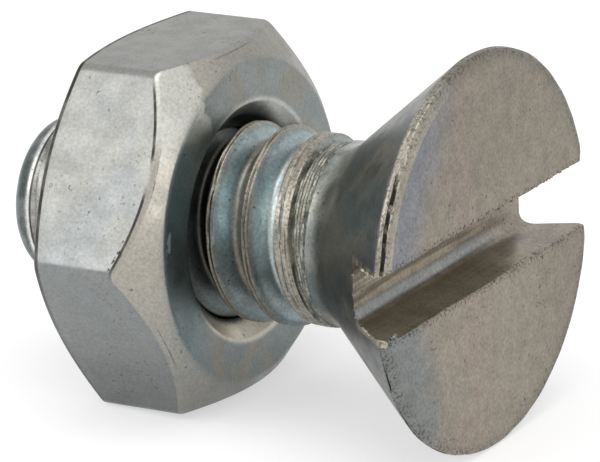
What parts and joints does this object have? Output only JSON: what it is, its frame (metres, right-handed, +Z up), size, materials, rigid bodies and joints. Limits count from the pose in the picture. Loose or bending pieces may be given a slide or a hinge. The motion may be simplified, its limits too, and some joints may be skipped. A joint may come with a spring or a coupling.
{
  "type": "flat head machine screw with hex nut",
  "caption": "Slotted countersunk machine screw in clear zinc plate with a hexagon nut run along its coarse rolled thread, lying as it comes to rest.",
  "frame": {"origin": "centre of the bounding box on the floor plane, with the screw and nut lying as they come to rest", "axes": "+Z up; +X along the screw towards its head, the axis itself climbing about 3.1 degrees towards the head; the driver slot runs along Y"},
  "size_m": [0.0164, 0.0128, 0.0125],
  "materials": {
    "screw_zinc": "clear blue zinc plate, lightly worn and mottled",
    "nut_zinc": "clear blue zinc plate, grained and lightly mottled"
  },
  "bodies": {
    "screw": {"flat_head_screw": "screw_zinc"},
    "nut": {"hex_nut": "nut_zinc"}
  },
  "joints": [
    {"name": "nut_run", "type": "slide", "parent": "screw", "child": "nut", "axis": [0.9985, 0, 0.0542], "range_m": [-0.00635, 0.00254]}
  ]
}
